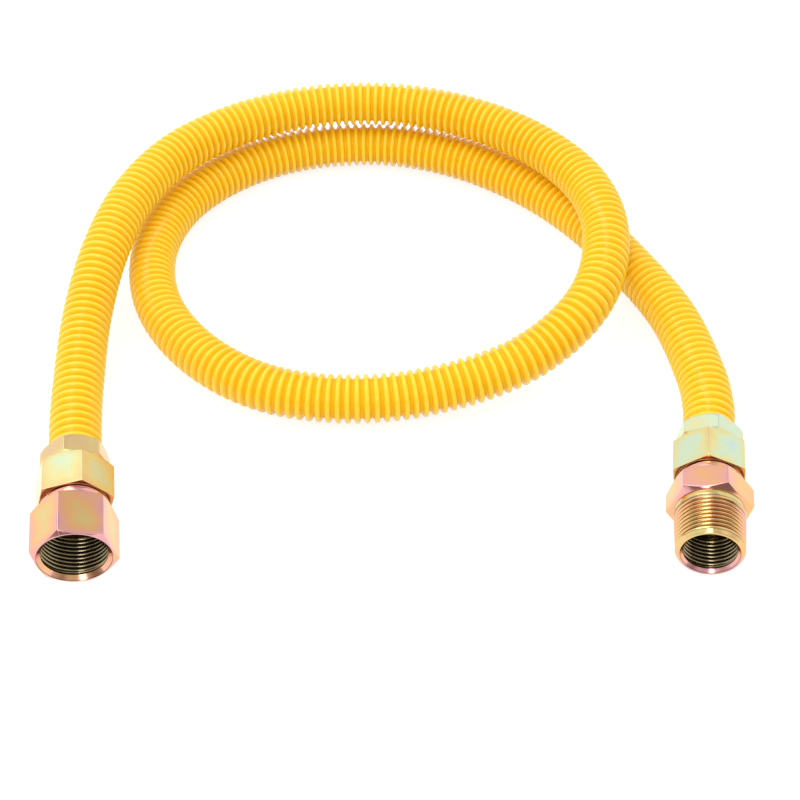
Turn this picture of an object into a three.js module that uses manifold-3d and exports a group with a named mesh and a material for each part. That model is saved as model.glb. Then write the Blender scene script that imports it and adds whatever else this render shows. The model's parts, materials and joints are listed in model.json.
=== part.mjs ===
// A coated corrugated gas connector that lies in one and a half turns on the floor.
// Each end has a flare nut, and an adapter that the nut draws onto the flared end of the gas tube.
// Millimetres. +X runs from the female end to the male end, +Y away from their mouths and +Z up.
// The origin is on the floor, midway between the two ends.
import * as THREE from "three";
import { mergeVertices } from "three/addons/utils/BufferGeometryUtils.js";
import Module from "manifold-3d";

const wasm = await Module();
wasm.setup();

// Clearances
const layerGap = 0.3; // between pieces that touch on the real object
const threadGap = 0.3; // between a flare thread's crest and the bore of its nut

// Hose
const jacketDiameter = 20.5;
const jacketWall = 1.7;
const tubeWall = 0.4;
const sleeveWall = 0.5;
const sleeveLap = 1;
const hoseSides = 12;
const hoseSteps = 60;

// Flare nut, measured along its axis from the end that the hose enters
const nutAcross = 27;
const nutLength = 25.5;
const collarLength = 9.2;
const collarAcross = 24.6;
const collarRoundLength = 2;
const collarRoundDepth = 1.2;
const jacketSocket = 9;
const seatStart = 12;
const nutChamfer = 0.6;

// Flare thread and its nose, the same on both adapters
const flareThreadDiameter = 23.8;
const flareAcross = 21.2;
const noseTipDiameter = 14.6;
const noseNeckDiameter = 21.8;
const flareThreadStart = 16.6;
const threadChamfer = 0.9;
const gasWayDiameter = 13;
const grooveDiameter = 22.4;
const grooveWidth = 1;

// Adapter body
const ringDiameter = 26.8;
const ringGap = 1;
const ringLength = 2;
const hexAcross = 28.6;
const hexChamferSlope = Math.tan(Math.PI / 6);

// Female adapter: a hexagon bored for a 3/4 inch pipe thread
const femaleHexLength = 21.5;
const femaleFaceDiameter = 28.4;
const femaleBoreDiameter = 24.8;
const femaleBoreDepth = 18.5;
const femaleMouthDiameter = 26.8;

// Male adapter: a 3/4 inch taper pipe thread, tapped 1/2 inch inside
const maleHexLength = 11.6;
const maleFaceDiameter = 27.4;
const shoulderDiameter = 27;
const shoulderLength = 2;
const maleThreadLength = 18.8;
const maleThreadDiameter = 26.7;
const threadTaper = 1 / 16;
const maleTipChamfer = 0.9;
const maleBoreDiameter = 19.8;
const maleBoreDepth = 14.5;
const maleMouthDiameter = 22.2;

const turnSegments = 36;
const roundSteps = 3;
const joinOverlap = 0.5;

// Where each end lies: the point where the hose enters the nut, the direction that the mouth
// faces (yaw about +Z, dip below level) and how far the nut and the adapter are rolled on the axis.
const leftEnd = { at: [-123.27, 18.49, 18.2], yaw: 8, dip: 2.5, nutRoll: 18, adapterRoll: 17 };
const rightEnd = { at: [124.12, 31.43, 15.9], yaw: -7.75, dip: 0, nutRoll: -9, adapterRoll: -14 };

// The hose's route from the left nut to the right nut. The first pass over the back rides on the
// second, and the rest lies on the floor.
const straightBehindNut = [4, 16];
const hoseRoute = [
  [-127.5, 55.8, 20], [-129, 93.3, 23.5], [-126, 130.8, 28.5], [-117.5, 167.3, 31],
  [-100, 200.3, 31.5], [-71, 224.8, 31.5], [-36.5, 238.3, 31.5], [1.5, 239.3, 31.5],
  [37, 227.3, 31.5], [67, 204.8, 31.5], [87.5, 173.3, 31.5], [92.5, 136.3, 31],
  [82.5, 100.3, 26.5], [57, 76.3, 17.5], [22, 63.3, 11.5], [-15, 57.3, 10.5],
  [-52, 63.3, 10.5], [-82.5, 84.3, 10.5], [-103, 115.8, 10.5], [-109, 152.8, 10.5],
  [-99, 188.8, 10.5], [-74, 216.8, 10.5], [-40, 232.8, 10.5], [-2.5, 235.3, 10.5],
  [33, 223.8, 10.5], [64, 201.8, 10.5], [88.5, 173.3, 10.5], [106.5, 139.8, 11],
  [120, 104.8, 13], [126, 67.8, 15],
];

// Sizes that follow from the ones above
const jacketRadius = jacketDiameter / 2;
const tubeRadius = jacketRadius - jacketWall - layerGap;
const tubeBore = tubeRadius - tubeWall;
const sectionFlat = Math.cos(Math.PI / hoseSides);
const jacketEnd = jacketSocket - layerGap;
const flareThreadEnd = nutLength + ringGap - grooveWidth;
const hexStart = nutLength + ringGap + ringLength;
const across = Math.SQRT2; // a gap square to a 45 degree face, measured along the axis

const plated = { metalness: 1, roughness: 0.3 };
const yellowPlastic = new THREE.MeshStandardMaterial({ color: 0xffc814, roughness: 0.3 });
const stainless = new THREE.MeshStandardMaterial({ color: 0xb8bcc0, ...plated });
const paleZinc = new THREE.MeshStandardMaterial({ color: 0xd9dba6, ...plated });
const goldZinc = new THREE.MeshStandardMaterial({ color: 0xd9a560, ...plated });

function solid(geometry) {
  const bare = geometry.index ? geometry.toNonIndexed() : geometry.clone();
  bare.deleteAttribute("normal");
  bare.deleteAttribute("uv");
  const merged = mergeVertices(bare, 1e-4);
  return new wasm.Manifold(new wasm.Mesh({
    numProp: 3,
    vertProperties: merged.attributes.position.array,
    triVerts: new Uint32Array(merged.index.array),
  }));
}

function geometryOf(body) {
  const mesh = body.getMesh();
  const geometry = new THREE.BufferGeometry();
  geometry.setAttribute("position", new THREE.BufferAttribute(mesh.vertProperties, 3));
  geometry.setIndex(new THREE.BufferAttribute(mesh.triVerts, 1));
  geometry.computeVertexNormals();
  return geometry;
}

// A turned solid about +Z. The profile is a list of [radius, height], closed on itself or on the
// axis, with the material on the left of the line as it runs.
function turned(profile) {
  const points = profile.map(([radius, height]) => new THREE.Vector2(radius, height));
  return solid(new THREE.LatheGeometry(points, turnSegments).rotateX(Math.PI / 2));
}

// A turned solid from the axis out to an open profile that runs from its low end to its high end.
function turnedBar(profile) {
  const low = profile[0][1];
  const high = profile[profile.length - 1][1];
  return turned([[0, low], ...profile, [0, high]]);
}

// A hexagonal bar with one of its flats square to +Y.
function hexBar(acrossFlats, low, high) {
  const corner = acrossFlats / 2 / Math.cos(Math.PI / 6);
  const bar = new THREE.CylinderGeometry(corner, corner, high - low, 6);
  bar.rotateY(Math.PI / 6).rotateX(Math.PI / 2).translate(0, 0, (low + high) / 2);
  return solid(bar);
}

// A bar's end form that takes its corners off at both ends.
function cornerCutter(acrossFlats, low, high, lowRadius, highRadius) {
  const outer = acrossFlats / 2 / Math.cos(Math.PI / 6) + joinOverlap;
  return turnedBar([
    [lowRadius, low],
    [outer, low + (outer - lowRadius) * hexChamferSlope],
    [outer, high - (outer - highRadius) * hexChamferSlope],
    [highRadius, high],
  ]);
}

function flareNut() {
  const bodyRadius = nutAcross / 2;
  const socket = jacketRadius + layerGap;
  const shank = tubeRadius + layerGap;
  const threadBore = flareThreadDiameter / 2 + threadGap;
  const corner = bodyRadius / Math.cos(Math.PI / 6);
  const hexagon = hexBar(nutAcross, collarLength, nutLength).intersect(turnedBar([
    [bodyRadius, collarLength],
    [corner, collarLength + (corner - bodyRadius) * hexChamferSlope],
    [corner, nutLength - nutChamfer * hexChamferSlope],
    [corner - nutChamfer, nutLength],
  ]));
  const rounded = Array.from({ length: roundSteps + 1 }, (_, step) => {
    const turn = (step / roundSteps) * (Math.PI / 2);
    return [
      bodyRadius - collarRoundDepth * (1 - Math.sin(turn)),
      collarRoundLength * (1 - Math.cos(turn)),
    ];
  });
  const flats = hexBar(collarAcross, -joinOverlap, collarLength).rotate([0, 0, 30]);
  const round = turnedBar([...rounded, [bodyRadius, collarLength + joinOverlap]]);
  const flatted = round.intersect(flats.add(turnedBar([
    [bodyRadius + joinOverlap, collarLength - joinOverlap / 2],
    [bodyRadius + joinOverlap, collarLength + joinOverlap],
  ])));
  const bore = turnedBar([
    [socket, -joinOverlap],
    [socket, jacketSocket],
    [shank, jacketSocket],
    [shank, seatStart],
    [threadBore, seatStart + threadBore - shank],
    [threadBore, nutLength + joinOverlap],
  ]);
  return geometryOf(hexagon.add(flatted).subtract(bore).rotate([0, 0, 30]));
}

// How far along the axis the nose's cone is at a radius, so that the flare fits between it and
// the nut's seat with a gap on each side.
function coneAt(radius, depth) {
  return seatStart + radius - (tubeRadius + layerGap) + depth * across;
}

function flareNose() {
  const depth = tubeWall + 2 * layerGap;
  const tip = noseTipDiameter / 2;
  const neck = noseNeckDiameter / 2;
  const crest = flareThreadDiameter / 2;
  return [
    [tip, coneAt(tip, depth)],
    [neck, coneAt(neck, depth)],
    [neck, flareThreadStart],
    [crest, flareThreadStart + threadChamfer],
    [crest, flareThreadEnd],
    [grooveDiameter / 2, flareThreadEnd],
    [grooveDiameter / 2, nutLength + ringGap],
    [ringDiameter / 2, nutLength + ringGap],
    [ringDiameter / 2, hexStart + joinOverlap],
  ];
}

function adapterHex(length, mouthRadius) {
  const end = hexStart + length;
  return hexBar(hexAcross, hexStart, end).intersect(
    cornerCutter(hexAcross, hexStart, end, ringDiameter / 2, mouthRadius),
  );
}

function femaleAdapter() {
  const mouth = hexStart + femaleHexLength;
  const bore = femaleBoreDiameter / 2;
  const flareEnd = femaleMouthDiameter / 2;
  const hole = turnedBar([
    [gasWayDiameter / 2, flareThreadStart - noseNeckDiameter],
    [gasWayDiameter / 2, mouth - femaleBoreDepth],
    [bore, mouth - femaleBoreDepth],
    [bore, mouth - (flareEnd - bore)],
    [flareEnd + joinOverlap, mouth + joinOverlap],
  ]);
  const hexagon = adapterHex(femaleHexLength, femaleFaceDiameter / 2);
  return geometryOf(turnedBar(flareNose()).add(hexagon).subtract(hole));
}

function maleAdapter() {
  const hexEnd = hexStart + maleHexLength;
  const threadStart = hexEnd + shoulderLength;
  const mouth = threadStart + maleThreadLength;
  const thread = maleThreadDiameter / 2;
  const tip = thread - (maleThreadLength * threadTaper) / 2;
  const bore = maleBoreDiameter / 2;
  const boreMouth = maleMouthDiameter / 2;
  const stem = turnedBar([
    [shoulderDiameter / 2, hexEnd - joinOverlap],
    [shoulderDiameter / 2, threadStart],
    [thread, threadStart],
    [tip, mouth - maleTipChamfer],
    [tip - maleTipChamfer, mouth],
  ]);
  const hole = turnedBar([
    [gasWayDiameter / 2, flareThreadStart - noseNeckDiameter],
    [gasWayDiameter / 2, mouth - maleBoreDepth],
    [bore, mouth - maleBoreDepth],
    [bore, mouth - (boreMouth - bore)],
    [boreMouth + joinOverlap, mouth + joinOverlap],
  ]);
  const hexagon = adapterHex(maleHexLength, maleFaceDiameter / 2);
  return geometryOf(turnedBar(flareNose()).add(hexagon).add(stem).subtract(hole));
}

// The frame of an end: +Z along the axis towards the mouth and +Y up.
function endFrame(end) {
  const turn = new THREE.Group();
  turn.position.set(...end.at);
  turn.rotation.z = THREE.MathUtils.degToRad(end.yaw);
  const axis = new THREE.Group();
  axis.rotation.x = THREE.MathUtils.degToRad(90 + end.dip);
  turn.add(axis);
  turn.updateMatrixWorld(true);
  return { turn, axis };
}

function alongAxis(end, distance) {
  return new THREE.Vector3(0, 0, distance).applyMatrix4(endFrame(end).axis.matrixWorld);
}

function hosePath() {
  const behind = (end) => straightBehindNut.map((distance) => alongAxis(end, -distance));
  return new THREE.CatmullRomCurve3([
    alongAxis(leftEnd, jacketEnd),
    ...behind(leftEnd),
    ...hoseRoute.map((point) => new THREE.Vector3(...point)),
    ...behind(rightEnd).reverse(),
    alongAxis(rightEnd, jacketEnd),
  ], false, "catmullrom", 0.5);
}

function polygon(radius, PathType = THREE.Shape) {
  const points = Array.from({ length: hoseSides }, (_, side) => {
    const turn = (side / hoseSides) * 2 * Math.PI;
    return new THREE.Vector2(radius * Math.cos(turn), radius * Math.sin(turn));
  });
  return new PathType(points);
}

function hoseLayer(outer, inner) {
  const section = polygon(outer);
  section.holes.push(polygon(inner, THREE.Path));
  return new THREE.ExtrudeGeometry(section, { steps: hoseSteps, extrudePath: hosePath() });
}

// The tube's end inside a nut: a short sleeve that carries on the tube, and its 45 degree flare.
function flaredEnd(end) {
  const sleeve = (jacketRadius - jacketWall) * sectionFlat - layerGap;
  const flare = flareAcross / 2;
  const start = jacketEnd - sleeveLap;
  const throat = sleeve - sleeveWall;
  return turned([
    [throat, start],
    [sleeve, start],
    [sleeve, jacketEnd + layerGap],
    [tubeRadius, jacketEnd + 2 * layerGap],
    [tubeRadius, coneAt(tubeRadius, layerGap)],
    [flare, coneAt(flare, layerGap)],
    [flare, coneAt(flare, layerGap + tubeWall)],
    [tubeBore, coneAt(tubeBore, layerGap + tubeWall)],
    [throat, coneAt(throat, layerGap)],
    [throat, start],
  ]).transform(endFrame(end).axis.matrixWorld.toArray());
}

function gasTube() {
  const layer = solid(hoseLayer(tubeRadius, tubeBore));
  return geometryOf(layer.add(flaredEnd(leftEnd)).add(flaredEnd(rightEnd)));
}

function named(name, geometry, material) {
  const mesh = new THREE.Mesh(geometry, material);
  mesh.name = name;
  return mesh;
}

function hoseEnd(end, nutName, adapterName, adapterGeometry) {
  const { turn, axis } = endFrame(end);
  const nut = named(nutName, flareNut(), paleZinc);
  nut.rotation.z = -THREE.MathUtils.degToRad(end.nutRoll);
  const adapter = named(adapterName, adapterGeometry, goldZinc);
  adapter.rotation.z = -THREE.MathUtils.degToRad(end.adapterRoll);
  axis.add(nut, adapter);
  return turn;
}

const connector = new THREE.Group();
connector.add(
  named("hose_jacket", hoseLayer(jacketRadius, jacketRadius - jacketWall), yellowPlastic),
  named("gas_tube", gasTube(), stainless),
  hoseEnd(leftEnd, "left_flare_nut", "female_adapter", femaleAdapter()),
  hoseEnd(rightEnd, "right_flare_nut", "male_adapter", maleAdapter()),
);

export default connector;
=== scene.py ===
import json
import math

import bmesh
import bpy
import numpy as np
from mathutils import Matrix, Vector


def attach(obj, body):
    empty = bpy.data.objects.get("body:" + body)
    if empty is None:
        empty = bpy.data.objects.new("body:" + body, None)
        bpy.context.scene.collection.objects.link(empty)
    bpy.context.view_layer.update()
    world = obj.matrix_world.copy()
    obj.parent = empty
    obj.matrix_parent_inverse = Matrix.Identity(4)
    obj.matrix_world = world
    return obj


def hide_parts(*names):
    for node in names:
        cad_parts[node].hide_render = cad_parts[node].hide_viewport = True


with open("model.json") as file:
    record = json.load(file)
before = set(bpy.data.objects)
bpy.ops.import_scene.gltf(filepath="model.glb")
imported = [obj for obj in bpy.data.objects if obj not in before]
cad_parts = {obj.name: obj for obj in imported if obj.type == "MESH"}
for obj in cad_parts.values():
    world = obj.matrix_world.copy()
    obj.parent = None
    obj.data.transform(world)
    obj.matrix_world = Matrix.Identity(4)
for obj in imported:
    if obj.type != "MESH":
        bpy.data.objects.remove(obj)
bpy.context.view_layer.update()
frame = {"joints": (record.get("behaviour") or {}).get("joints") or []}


# Camera: it stands in front of the two ends and looks down over the coil, as in the photograph.
# Its lens is given as the focal length in pixels of a square picture.
camera_place = (0.0024, -0.3792, 0.4418)
camera_down = math.radians(44.7)
picture_pixels = 800
focal_pixels = 1500

camera_lens = bpy.data.cameras.new("camera")
camera_lens.sensor_width = 36
camera_lens.lens = camera_lens.sensor_width * focal_pixels / picture_pixels
camera_lens.clip_start = 0.01
camera = bpy.data.objects.new("camera", camera_lens)
camera.location = camera_place
camera.rotation_euler = (math.pi / 2 - camera_down, 0, 0)
bpy.context.scene.collection.objects.link(camera)
bpy.context.scene.camera = camera


# Hose jacket: a yellow PVC coat drawn tightly over a corrugated steel tube, so it has the tube's
# round ribs. It comes out of each nut straight, lies over itself once and ends in the other nut.
jacket_radius = 0.01025
jacket_valley = 0.00825
jacket_sides = 36
curve_step = 0.02
cap_angle = 75

# Each rib has eight rings of points: these are their places in its pitch and their heights.
rib_pitch = 0.0038
rib_stations = [0, 0.14, 0.24, 0.33, 0.5, 0.67, 0.76, 0.86]
rib_heights = [1, 0.95, 0.72, 0.1, 0, 0.1, 0.72, 0.95]
lowest_rib = 0.35
quiet_end = 0.016

# The hose begins this far inside a nut and leaves it straight. Then it follows its route, which is
# the same as in the CAD.
straight_stops = (0.0087, -0.004, -0.016)
hose_route = [
    (-0.1275, 0.0558, 0.02), (-0.129, 0.0933, 0.0235), (-0.126, 0.1308, 0.0285),
    (-0.1175, 0.1673, 0.031), (-0.1, 0.2003, 0.0315), (-0.071, 0.2248, 0.0315),
    (-0.0365, 0.2383, 0.0315), (0.0015, 0.2393, 0.0315), (0.037, 0.2273, 0.0315),
    (0.067, 0.2048, 0.0315), (0.0875, 0.1733, 0.0315), (0.0925, 0.1363, 0.031),
    (0.0825, 0.1003, 0.0265), (0.057, 0.0763, 0.0175), (0.022, 0.0633, 0.0115),
    (-0.015, 0.0573, 0.0105), (-0.052, 0.0633, 0.0105), (-0.0825, 0.0843, 0.0105),
    (-0.103, 0.1158, 0.0105), (-0.109, 0.1528, 0.0105), (-0.099, 0.1888, 0.0105),
    (-0.074, 0.2168, 0.0105), (-0.04, 0.2328, 0.0105), (-0.0025, 0.2353, 0.0105),
    (0.033, 0.2238, 0.0105), (0.064, 0.2018, 0.0105), (0.0885, 0.1733, 0.0105),
    (0.1065, 0.1398, 0.011), (0.12, 0.1048, 0.013), (0.126, 0.0678, 0.015),
]


# In a fitting's own frame, z goes from the back of its nut out through the mouth.
def end_frame(place, yaw, dip):
    turned = Matrix.Rotation(math.radians(yaw), 4, "Z")
    return Matrix.Translation(place) @ turned @ Matrix.Rotation(math.radians(90 + dip), 4, "X")


# Each nut's joint stands where the hose comes out of the nut.
nut_places = {
    joint["name"]: joint["pos_m"] for joint in frame["joints"] if joint["type"] == "hinge"
}
left_end = end_frame(nut_places["left_nut_turn"], 8, 2.5)
right_end = end_frame(nut_places["right_nut_turn"], -7.75, 0)


# A smooth curve through the points, cut at the given stations of each rib.
def smooth_line(points, pitch, stations):
    knots = np.array([2 * points[0] - points[1], *points, 2 * points[-1] - points[-2]])
    line = []
    for p0, p1, p2, p3 in zip(knots, knots[1:], knots[2:], knots[3:]):
        for t in np.arange(0, 1, curve_step):
            line.append(
                p1
                + t * (p2 - p0) / 2
                + t**2 * (2 * p0 - 5 * p1 + 4 * p2 - p3) / 2
                + t**3 * (3 * p1 - p0 - 3 * p2 + p3) / 2
            )
    line = np.array([*line, points[-1]])
    run = np.insert(np.cumsum(np.linalg.norm(np.diff(line, axis=0), axis=1)), 0, 0)
    ribs = round(run[-1] / pitch)
    places = np.append(np.add.outer(np.arange(ribs), stations).ravel(), ribs) * run[-1] / ribs
    return np.stack([np.interp(places, run, line[:, k]) for k in range(3)], axis=1)


def along(end, distance):
    return np.array(end @ Vector((0, 0, distance)))


hose_points = [
    *[along(left_end, stop) for stop in straight_stops],
    *[np.array(point) for point in hose_route],
    *[along(right_end, stop) for stop in reversed(straight_stops)],
]
hose_line = smooth_line(hose_points, rib_pitch, rib_stations)


# A ring of points stands square to the line at each of its points, and the rings don't twist.
def swept(name, line, radii, sides):
    ahead = np.gradient(line, axis=0)
    ahead /= np.linalg.norm(ahead, axis=1)[:, None]
    out = np.array([0.0, 0.0, 1.0])
    angles = np.linspace(0, 2 * math.pi, sides, endpoint=False)
    rings = []
    for centre, forward, radius in zip(line, ahead, radii):
        out = out - forward * out.dot(forward)
        out /= np.linalg.norm(out)
        side = np.cross(forward, out)
        spokes = np.outer(np.cos(angles), out) + np.outer(np.sin(angles), side)
        rings.append(centre + radius * spokes)
    points = np.concatenate(rings)
    faces = []
    for ring in range(len(line) - 1):
        for k in range(sides):
            a, b = ring * sides + k, ring * sides + (k + 1) % sides
            faces.append((a, b, b + sides, a + sides))
    faces.append(tuple(range(sides))[::-1])
    faces.append(tuple(range(len(points) - sides, len(points))))
    mesh = bpy.data.meshes.new(name)
    mesh.from_pydata(points.tolist(), [], faces)
    mesh.shade_smooth()
    mesh.set_sharp_from_angle(angle=math.radians(cap_angle))
    piece = bpy.data.objects.new(name, mesh)
    bpy.context.scene.collection.objects.link(piece)
    return piece


# The ribs grow out of the coat near the nuts, where the tube was calibrated for flaring.
stations = np.arange(len(hose_line))
rib_height = np.array(rib_heights)[stations % len(rib_heights)]
from_end = np.minimum(stations, len(hose_line) - 1 - stations) * rib_pitch / len(rib_heights)
rib_growth = np.clip(from_end / quiet_end, lowest_rib, 1)
jacket_radii = jacket_radius - (jacket_radius - jacket_valley) * rib_growth * (1 - rib_height)
hose_jacket = swept("ribbed_jacket", hose_line, jacket_radii, jacket_sides)
# The crest value also paints the crests paler than the valleys: a painted highlight.
crest = hose_jacket.data.attributes.new("crest", "FLOAT", "POINT")
crest.data.foreach_set("value", np.repeat(1 - rib_growth * (1 - rib_height), jacket_sides))


class Wire:
    def __init__(self, tree, socket=None):
        self.tree = tree
        self.socket = socket

    def node(self, kind, settings=None, inputs=None, output=0):
        made = self.tree.nodes.new(kind)
        for name, value in (settings or {}).items():
            if name == "stops":
                while len(made.color_ramp.elements) < len(value):
                    made.color_ramp.elements.new(1)
                for element, (place, colour) in zip(made.color_ramp.elements, value):
                    element.position = place
                    element.color = colour
            else:
                setattr(made, name, value)
        for name, value in (inputs or {}).items():
            if isinstance(value, Wire):
                self.tree.links.new(value.socket, made.inputs[name])
            else:
                made.inputs[name].default_value = value
        return Wire(self.tree, made.outputs[output] if made.outputs else None)

    def math(self, operation, first, second):
        return self.node("ShaderNodeMath", {"operation": operation}, {0: first, 1: second})

    def __add__(self, other):
        return self.math("ADD", self, other)

    def __sub__(self, other):
        return self.math("SUBTRACT", self, other)

    def __rsub__(self, other):
        return self.math("SUBTRACT", other, self)

    def __mul__(self, other):
        return self.math("MULTIPLY", self, other)

    def __abs__(self):
        return self.math("ABSOLUTE", self, 0)

    __radd__ = __add__
    __rmul__ = __mul__

    # A colour Mix has its factor at socket 0, its colours at 6 and 7 and its result at 2.
    def blended(self, first, second):
        settings = {"data_type": "RGBA"}
        return self.node("ShaderNodeMix", settings, {0: self, 6: first, 7: second}, 2)

    def speckle(self, scale, detail=2):
        place = self.node("ShaderNodeTexCoord", output="Object")
        noise = {"Vector": place, "Scale": scale, "Detail": detail}
        return self.node("ShaderNodeTexNoise", {}, noise)

    def attribute(self, name):
        return self.node("ShaderNodeAttribute", {"attribute_name": name}, output="Fac")

    def between(self, low, high):
        limits = {"Value": self, "From Min": low, "From Max": high}
        return self.node("ShaderNodeMapRange", {"clamp": True}, limits)


def start_material(name):
    material = bpy.data.materials.new(name)
    material.use_nodes = True
    material.node_tree.nodes.clear()
    return material, Wire(material.node_tree)


def finish_material(wire, inputs):
    surface = wire.node("ShaderNodeBsdfPrincipled", {}, inputs)
    wire.node("ShaderNodeOutputMaterial", {}, {"Surface": surface})


# Painted highlight: the crests are painted paler than the valleys, for the broad sheen of light on
# each rib and the deeper shade between the ribs.
jacket_material, coat = start_material("glossy_yellow_pvc")
coat_drift = coat.speckle(28, 3).between(0.3, 0.7)
coat_crest = coat.attribute("crest")
finish_material(coat, {
    "Base Color": (coat_crest * 0.8 + coat_drift * 0.2).blended(
        (1.0, 0.52, 0.0, 1), (1.0, 0.7, 0.035, 1)
    ),
    "Roughness": 0.16 + coat.speckle(420, 3) * 0.1,
    "IOR": 1.28,
    "Coat Weight": coat_crest * 0.5,
    "Coat Roughness": 0.08,
    "Normal": coat.node("ShaderNodeBump", {}, {
        "Strength": 0.06, "Distance": 0.0002, "Height": coat.speckle(1100),
    }),
})
hose_jacket.data.materials.append(jacket_material)


# Gas tube: thin corrugated stainless steel inside the jacket, pressed plain at its ends. Each nut
# draws the tube's flare onto the adapter's nose. The flare is out of sight, and is left out here.
tube_crest = 0.0077
tube_valley = 0.0066
tube_stations = [0, 0.25, 0.5, 0.75]
tube_heights = [1, 0.5, 0, 0.5]
plain_stations = 24
tube_sides = 20
flare_seat = 0.012
dark_steel = (0.55, 0.56, 0.57, 1)
light_steel = (0.62, 0.63, 0.64, 1)

tube_points = [along(left_end, flare_seat), *hose_points[1:-1], along(right_end, flare_seat)]
tube_line = smooth_line(tube_points, rib_pitch, tube_stations)
tube_rib = np.array(tube_heights)[np.arange(len(tube_line)) % len(tube_heights)]
tube_radii = tube_valley + (tube_crest - tube_valley) * tube_rib
tube_radii[:plain_stations] = tube_crest
tube_radii[-plain_stations:] = tube_crest
gas_tube = swept("corrugated_steel_tube", tube_line, tube_radii, tube_sides)

tube_material, steel = start_material("bare_stainless_steel")
steel_brush = steel.speckle(900)
finish_material(steel, {
    "Base Color": steel_brush.blended(dark_steel, light_steel),
    "Metallic": 1,
    "Roughness": 0.22 + steel_brush * 0.2,
})
gas_tube.data.materials.append(tube_material)

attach(hose_jacket, "hose")
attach(gas_tube, "hose")
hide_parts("hose_jacket")
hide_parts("gas_tube")


# Flare nuts: plated steel, each with a long hexagon for the spanner and a round collar with six
# milled flats behind it. A nut turns freely on the hose and is threaded inside its mouth.
nut_flat = 0.0135
nut_length = 0.0255
collar_length = 0.0092
collar_radius = 0.0135
collar_flat = 0.01176
collar_flat_end = 0.0079
collar_ledge_slope = 0.85
collar_round_inward = 0.0016
collar_round_along = 0.0022
nut_hole = 0.01055
nut_hole_depth = 0.009
nut_seat = 0.00855
nut_thread = 0.012
nut_thread_start = flare_seat + 0.0045
nut_groove = 0.0007
nut_mouth = 0.0129
nut_mouth_depth = 0.0006
nut_edge = 0.00018
flare_pitch = 0.0015875
groove_form = [1, 0.97, 0.8, 0.5, 0.2, 0.05, 0, 0.05, 0.2, 0.5, 0.8, 0.97]
plain_edge = 0.0002
steep_wall = 0.0001
corner_round = 0.0004
corner_columns = [29.3, 29.55, 29.78, 30, 30.22, 30.45, 30.7]
column_step = 3.75
column_gap = 1.2
row_spacing = 0.002
sharp_angle = 36
weld_gap = 1e-6
chamfer_slope = math.tan(math.radians(30))
plated = 0


# The angle from the middle of the nearest of six faces.
def facing(angle):
    return math.radians((angle + 30) % 60 - 30)


# The hexagon's distance from its axis at an angle. Its corners are rounded.
def hex_radius(flat, angle):
    bend = abs(facing(angle))
    inner = flat - corner_round
    if math.tan(bend) * flat < inner * math.tan(math.pi / 6):
        return flat / math.cos(bend)
    corner = inner / math.cos(math.pi / 6)
    off = math.pi / 6 - bend
    return corner * math.cos(off) + math.sqrt(corner_round**2 - (corner * math.sin(off)) ** 2)


# A hexagon's columns of points are close together at its rounded corners, and even elsewhere.
def columns(extra=()):
    angles = {round(a + 60 * k, 3) for a in [*corner_columns, *extra] for k in range(6)}
    for angle in np.arange(0, 360, column_step):
        if all(abs((angle - other + 180) % 360 - 180) > column_gap for other in angles):
            angles.add(round(float(angle), 3))
    return sorted(angle % 360 for angle in angles)


# A section is a line of (radius, place along the axis). Easing cuts its corners off a little.
def eased(section, size):
    corners = [Vector(point) for point in section]
    if not size:
        return corners
    eased_line = [corners[0]]
    for before, here, after in zip(corners, corners[1:], corners[2:]):
        reach = min(size, (here - before).length / 3, (after - here).length / 3)
        start = here + (before - here).normalized() * reach
        end = here + (after - here).normalized() * reach
        eased_line += [start, (start + end + 2 * here) / 4, end]
    return [*eased_line, corners[-1]]


def divided(line, cuts):
    points = [line[0]]
    for before, here, parts in zip(line, line[1:], cuts):
        points += [before.lerp(here, (part + 1) / parts) for part in range(parts)]
    return points


# The last column joins the first one shift rows further on, which makes a thread of one start.
def add_shell(bm, angles, section, edge=plain_edge, shift=0, plating=(plated,)):
    sections = [eased(section(angle), edge) for angle in angles]
    first = sections[0]
    cuts = [1 + int((b - a).length / row_spacing) for a, b in zip(first, first[1:])]
    sections = [divided(line, cuts) for line in sections]
    rows = len(sections[0])
    verts = [
        [
            bm.verts.new((
                radius * math.sin(math.radians(angle)), radius * math.cos(math.radians(angle)), s
            ))
            for radius, s in line
        ]
        for angle, line in zip(angles, sections)
    ]
    for k, here in enumerate(verts):
        last = k == len(verts) - 1
        there = verts[0] if last else verts[k + 1]
        jump = shift if last else 0
        for row in range(jump, rows - 1):
            corners = (here[row], there[row - jump], there[row - jump + 1], here[row + 1])
            bm.faces.new(corners).material_index = plating[row % len(plating)]


# A groove of positive depth is cut outwards, into the wall of a bore.
def add_thread(
    bm, angles, start, end, pitch, crest, depth, taper=0, plating=(plated,), run_in=1,
):
    per_turn = len(groove_form)
    turns = math.ceil((end - start) / pitch) + 1

    def section(angle):
        line = []
        for row in range(turns * per_turn + 1):
            s = start + pitch * (row / per_turn - angle / 360)
            s = min(max(s, start), end)
            fade = min(1, (s - start) / (run_in * pitch), (end - s) / pitch)
            groove = groove_form[row % per_turn] * depth * fade
            line.append((crest + groove - (s - start) * taper, s))
        return line

    add_shell(bm, angles, section, edge=0, shift=per_turn, plating=plating)


# The plating is thicker towards the edges of a face, which changes its colour from the middle out.
# Each band along a piece has its far end, the thickness in the middle and at the edges, and what
# its top gains.
def film_thickness(angle, s, bands):
    start = 0
    for end, middle, edge, lift in bands:
        if s < end + weld_gap:
            break
        start = end
    to_corner = abs(math.degrees(facing(angle))) / 30
    to_end = abs(2 * (s - start) / (end - start) - 1)
    top = lift * math.cos(math.radians(angle))
    return middle + top + (edge - middle) * max(to_corner**2, to_end**3)


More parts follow.
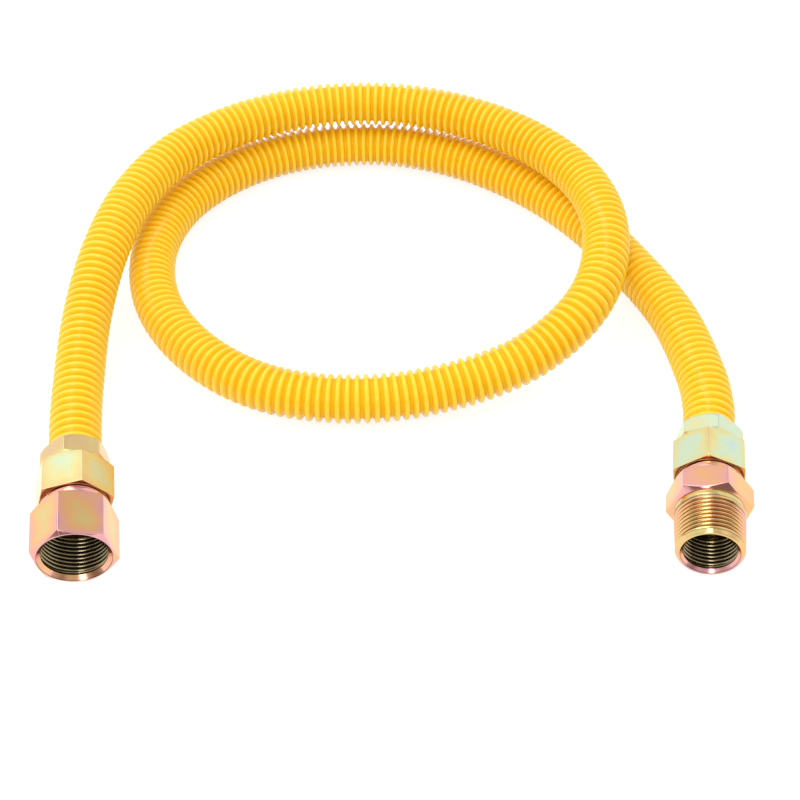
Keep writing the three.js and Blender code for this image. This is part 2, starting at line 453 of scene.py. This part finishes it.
def finished(name, bm, end, roll, materials, bands):
    bmesh.ops.remove_doubles(bm, verts=bm.verts, dist=weld_gap)
    bmesh.ops.dissolve_degenerate(bm, edges=bm.edges, dist=weld_gap / 10)
    bmesh.ops.recalc_face_normals(bm, faces=bm.faces)
    thickness = bm.verts.layers.float.new("film")
    for vert in bm.verts:
        angle = math.degrees(math.atan2(vert.co.x, vert.co.y))
        vert[thickness] = film_thickness(angle, vert.co.z, bands)
    mesh = bpy.data.meshes.new(name)
    bm.to_mesh(mesh)
    bm.free()
    mesh.transform(end @ Matrix.Rotation(-math.radians(roll), 4, "Z"))
    mesh.shade_smooth()
    mesh.set_sharp_from_angle(angle=math.radians(sharp_angle))
    for material in materials:
        mesh.materials.append(material)
    piece = bpy.data.objects.new(name, mesh)
    bpy.context.scene.collection.objects.link(piece)
    weighted = piece.modifiers.new("weighted", "WEIGHTED_NORMAL")
    weighted.keep_sharp = True
    return piece


def flare_nut(name, end, roll, flats_turn, collar_film, face_film):
    bm = bmesh.new()
    half = math.degrees(math.acos(collar_flat / collar_radius))
    angles = columns([30 + flats_turn - half, 30 + flats_turn + half])

    def outside(angle):
        bend = math.cos(facing(angle - 30 - flats_turn))
        hexagon = hex_radius(nut_flat, angle)
        flat = collar_flat / bend
        line = [(nut_hole, 0)]
        for turn in (0, 30, 60, 90):
            radius = collar_radius - collar_round_inward * (1 - math.sin(math.radians(turn)))
            s = collar_round_along * (1 - math.cos(math.radians(turn)))
            line.append((min(radius, flat), s))
        rise = max(0, collar_radius * bend - collar_flat) * collar_ledge_slope
        line += [
            (min(collar_radius, flat), collar_flat_end - steep_wall),
            (collar_radius, collar_flat_end + rise),
            (collar_radius, collar_length + steep_wall),
            (hexagon, collar_length + 2 * steep_wall + (hexagon - nut_flat) * chamfer_slope),
            (hexagon, nut_length),
            (nut_mouth, nut_length),
            (nut_thread, nut_length - nut_mouth_depth),
        ]
        return line

    def inside(angle):
        return [
            (nut_thread, nut_thread_start), (nut_seat, flare_seat),
            (nut_seat, nut_hole_depth), (nut_hole, nut_hole_depth), (nut_hole, 0),
        ]

    add_shell(bm, angles, outside, edge=nut_edge)
    add_thread(
        bm, angles, nut_thread_start, nut_length - nut_mouth_depth, flare_pitch,
        nut_thread, nut_groove,
    )
    add_shell(bm, angles, inside)
    return finished(name, bm, end, roll, [nut_material], [
        (collar_length, collar_film, collar_film, 0), (nut_length, *face_film, 0),
    ])


# Zinc plating has the colours of a thin film: which one depends on how thick it is at each spot.
def zinc_plating(name, film_colours, patch_scale, roughness, grain, relief):
    material, zinc = start_material(name)
    film = zinc.attribute("film") * 0.7 + zinc.speckle(patch_scale).between(0.3, 0.7) * 0.3
    finish_material(zinc, {
        "Base Color": zinc.node("ShaderNodeValToRGB", {"stops": film_colours}, {"Fac": film}),
        "Metallic": 1,
        "Roughness": roughness + zinc.speckle(1500, 3) * grain,
        "Normal": zinc.node("ShaderNodeBump", {}, {
            "Strength": relief, "Distance": 0.00008, "Height": zinc.speckle(520, 4),
        }),
    })
    return material


nut_film_colours = [
    (0.0, (0.56, 0.72, 0.68, 1)),
    (0.22, (0.64, 0.77, 0.56, 1)),
    (0.45, (0.78, 0.7, 0.32, 1)),
    (0.7, (0.8, 0.58, 0.26, 1)),
    (1.0, (0.8, 0.5, 0.4, 1)),
]
nut_material = zinc_plating(
    "pale_iridescent_zinc", nut_film_colours, patch_scale=90, roughness=0.16, grain=0.12,
    relief=0.12,
)
left_nut = flare_nut(
    "left_nut", left_end, roll=48, flats_turn=2, collar_film=0.8, face_film=(0.25, 0.75),
)
right_nut = flare_nut(
    "right_nut", right_end, roll=21, flats_turn=-13, collar_film=0.1, face_film=(0, 0.55),
)
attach(left_nut, "left_nut")
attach(right_nut, "right_nut")
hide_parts("left_flare_nut")
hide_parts("right_flare_nut")


# Female adapter: turned from steel hexagon bar and plated gold. Its nose seats in the flare, the
# thread behind the nose takes the nut, and its mouth is tapped for a 3/4 inch pipe.
adapter_flat = 0.0143
hex_start = 0.029
ring_radius = 0.0134
ring_start = 0.0272
ring_end = 0.0287
ring_groove = 0.0129
groove_radius = 0.0109
flare_thread = 0.0119
flare_thread_start = 0.0166
flare_thread_end = 0.0268
flare_groove = 0.001
nose_tip = 0.0073
nose_start = 0.01216
gas_way = 0.0065
pipe_pitch = 0.001814
pipe_depth = 0.00105
bore_run_in = 0.2
mouth_edge = 0.00025
female_roll = 17
female_mouth = 0.05
female_face = 0.0142
female_rim = 0.0139
female_crest = 0.01225
female_sink = 0.0016
female_bore_depth = 0.0185
female_film = [(hex_start, 0.8, 0.8, 0), (female_mouth, 0.2, 0.85, 0.1)]
# Slot of the dark olive material: thin plating, and painted shade.
thin_plating_and_shade = 1
adapter_columns = columns()


def add_nose(bm):
    def nose(angle):
        return [(gas_way, nose_start), (nose_tip, nose_start), (flare_thread, flare_thread_start)]

    def groove(angle):
        return [
            (flare_thread, flare_thread_end), (groove_radius, flare_thread_end + steep_wall),
            (groove_radius, ring_start), (ring_radius, ring_start), (ring_radius, ring_end),
            (ring_groove, ring_end + steep_wall), (ring_groove, hex_start),
        ]

    add_shell(bm, adapter_columns, nose)
    add_thread(
        bm, adapter_columns, flare_thread_start, flare_thread_end, flare_pitch, flare_thread,
        -flare_groove,
    )
    add_shell(bm, adapter_columns, groove)


def hex_line(angle, end, face):
    hexagon = hex_radius(adapter_flat, angle)
    return [
        (ring_groove, hex_start), (ring_radius, hex_start),
        (hexagon, hex_start + (hexagon - ring_radius) * chamfer_slope),
        (hexagon, end - (hexagon - face) * chamfer_slope),
        (face, end),
    ]


# Painted shade: a thin dark ring is painted at the sharp edge of each mouth. The bore gets the
# dull olive of thin plating, darkened as painted shade.
def add_bore(bm, rim, mouth, sink, crest, depth):
    dark_ring_end = (rim - mouth_edge, mouth - mouth_edge)
    thin_and_shaded = [thin_plating_and_shade]
    add_shell(bm, adapter_columns, lambda angle: [(rim, mouth), dark_ring_end], edge=0, plating=thin_and_shaded)
    add_shell(bm, adapter_columns, lambda angle: [dark_ring_end, (crest, mouth - sink)])
    add_thread(
        bm, adapter_columns, mouth - depth, mouth - sink, pipe_pitch, crest, pipe_depth,
        plating=thin_and_shaded, run_in=bore_run_in,
    )
    add_shell(bm, adapter_columns, lambda angle: [
        (crest, mouth - depth), (gas_way, mouth - depth), (gas_way, nose_start),
    ], plating=thin_and_shaded)


adapter_film_colours = [
    (0.0, (0.58, 0.6, 0.28, 1)),
    (0.25, (0.73, 0.57, 0.23, 1)),
    (0.5, (0.87, 0.47, 0.21, 1)),
    (0.75, (0.84, 0.42, 0.36, 1)),
    (1.0, (0.66, 0.32, 0.44, 1)),
]
adapter_material = zinc_plating(
    "gold_zinc_dichromate", adapter_film_colours, patch_scale=75, roughness=0.1, grain=0.1,
    relief=0.1,
)

# Less plating gets into the bores, which stay a dull olive. The material's dark tone is also
# painted shade, in the bores and in the roots of the outer thread.
bore_material, olive = start_material("thin_plating_and_painted_shade")
finish_material(olive, {
    "Base Color": olive.speckle(160).blended((0.24, 0.19, 0.11, 1), (0.36, 0.3, 0.18, 1)),
    "Metallic": 1,
    "Roughness": 0.1 + olive.speckle(1500, 3) * 0.1,
})

female = bmesh.new()
add_nose(female)
add_shell(female, adapter_columns, lambda angle: [
    *hex_line(angle, female_mouth, female_face), (female_rim, female_mouth),
])
add_bore(female, female_rim, female_mouth, female_sink, female_crest, female_bore_depth)
female_adapter = finished(
    "female_pipe_adapter", female, left_end, female_roll, [adapter_material, bore_material],
    female_film,
)
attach(female_adapter, "female_end")
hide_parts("female_adapter")


# Male adapter: the same bar with a short hexagon, then an undercut, a plain shoulder and a
# 3/4 inch taper thread outside. Inside the same end it is tapped for a 1/2 inch pipe.
male_roll = -14
male_hex_end = 0.0407
male_face = 0.0134
undercut_radius = 0.0129
shoulder_start = 0.0413
shoulder_radius = 0.0135
shoulder_end = 0.0432
shoulder_round = 0.0003
male_crest = 0.01335
male_mouth = 0.0609
male_thread_end = 0.0596
male_tip = 0.0118
male_taper = 1 / 32
male_bore_crest = 0.0099
male_bore_mouth = 0.0111
male_sink = 0.0012
male_bore_depth = 0.0145
male_tip_film = 0.001
male_film = [
    (hex_start, 0.8, 0.8, 0), (male_hex_end, 0.05, 0.45, 0.5),
    (shoulder_end + shoulder_round, 0.05, 0.05, 0),
    (male_thread_end - male_tip_film, 0.75, 0.75, -0.35), (male_mouth, 0.6, 0.6, -0.45),
]
# Painted shade: the roots of the outer thread get the dark olive material.
groove_painted_shade = [thin_plating_and_shade] * 3 + [plated] * 6 + [thin_plating_and_shade] * 3

male = bmesh.new()
crest_at_end = male_crest - (male_thread_end - shoulder_end) * male_taper
add_nose(male)
add_shell(male, adapter_columns, lambda angle: [
    *hex_line(angle, male_hex_end, male_face),
    (undercut_radius, male_hex_end + steep_wall), (undercut_radius, shoulder_start - steep_wall),
    (shoulder_radius, shoulder_start), (shoulder_radius, shoulder_end - shoulder_round),
    (male_crest, shoulder_end),
])
add_thread(
    male, adapter_columns, shoulder_end, male_thread_end, pipe_pitch, male_crest, -pipe_depth,
    taper=male_taper, plating=groove_painted_shade,
)
add_shell(male, adapter_columns, lambda angle: [
    (crest_at_end, male_thread_end), (male_tip, male_mouth), (male_bore_mouth, male_mouth),
])
add_bore(male, male_bore_mouth, male_mouth, male_sink, male_bore_crest, male_bore_depth)
male_adapter = finished(
    "male_pipe_adapter", male, right_end, male_roll, [adapter_material, bore_material], male_film
)
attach(male_adapter, "male_end")
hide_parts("male_adapter")


# Table: plain white, and it goes on as far as the camera sees. It shows as the photograph's white
# ground, with only a faint shadow under the hose.
table_corners = [(-4, -4, 0), (4, -4, 0), (4, 6, 0), (-4, 6, 0)]

table_mesh = bpy.data.meshes.new("table")
table_mesh.from_pydata(table_corners, [], [(0, 1, 2, 3)])
table = bpy.data.objects.new("table", table_mesh)
bpy.context.scene.collection.objects.link(table)
table_material, ground = start_material("white_table")
seen = ground.math(
    "MAXIMUM",
    ground.node("ShaderNodeLightPath", output="Is Camera Ray"),
    ground.node("ShaderNodeLightPath", output="Is Glossy Ray"),
)
plain_ground = ground.node("ShaderNodeBsdfDiffuse", {}, {"Color": (0.86, 0.86, 0.86, 1)})
lit_ground = ground.node("ShaderNodeAddShader", {}, {
    0: ground.node("ShaderNodeBsdfDiffuse", {}, {"Color": (0.34, 0.34, 0.34, 1)}),
    1: ground.node("ShaderNodeEmission", {}, {"Strength": 0.8}),
})
ground.node("ShaderNodeOutputMaterial", {}, {
    "Surface": ground.node("ShaderNodeMixShader", {}, {0: seen, 1: plain_ground, 2: lit_ground}),
})
table_mesh.materials.append(table_material)


# Studio: white walls at both sides, with a darker strip over the middle and the photographer's
# dark side low in front. One broad lamp is overhead and a tall narrow one is above the camera.
dark_brown = (0.22, 0.2, 0.17, 1)
white = (1, 1, 1, 1)
lamps = [
    ("overhead", (-0.35, 0.35, 1.1), (0.9, 0.9), 4),
    ("camera side", (-0.26, -1.2, 0.85), (0.3, 1.2), 4.6),
]
lamp_aim = Vector((0, 0.1, 0))

room = bpy.data.worlds.new("room")
room.use_nodes = True
room.node_tree.nodes.clear()
air = Wire(room.node_tree)
outward = air.node("ShaderNodeTexCoord", output="Generated")
across, ahead, height = [
    air.node("ShaderNodeSeparateXYZ", {}, {0: outward}, axis) for axis in range(3)
]
walls = 0.6 + 0.4 * abs(across - 0.12).between(0.1, 0.3)
dark_side = (1 - ahead.between(-0.75, -0.4)) * (1 - height.between(0.35, 0.6))
room_colour = (walls * (1 - dark_side)).blended(dark_brown, white)
room_seen = air.node("ShaderNodeLightPath", output="Is Camera Ray")
air.node("ShaderNodeOutputWorld", {}, {
    "Surface": air.node("ShaderNodeBackground", {}, {
        "Color": room_seen.blended(room_colour, white),
        "Strength": 1.08 - room_seen * 0.08,
    }),
})
bpy.context.scene.world = room

for lamp_name, place, size, power in lamps:
    lamp_light = bpy.data.lights.new(lamp_name, "AREA")
    lamp_light.shape = "RECTANGLE"
    lamp_light.size, lamp_light.size_y = size
    lamp_light.energy = power
    lamp = bpy.data.objects.new(lamp_name, lamp_light)
    lamp.location = place
    lamp.rotation_euler = (Vector(place) - lamp_aim).to_track_quat("Z", "Y").to_euler()
    bpy.context.scene.collection.objects.link(lamp)

bpy.context.scene.view_settings.view_transform = "Standard"
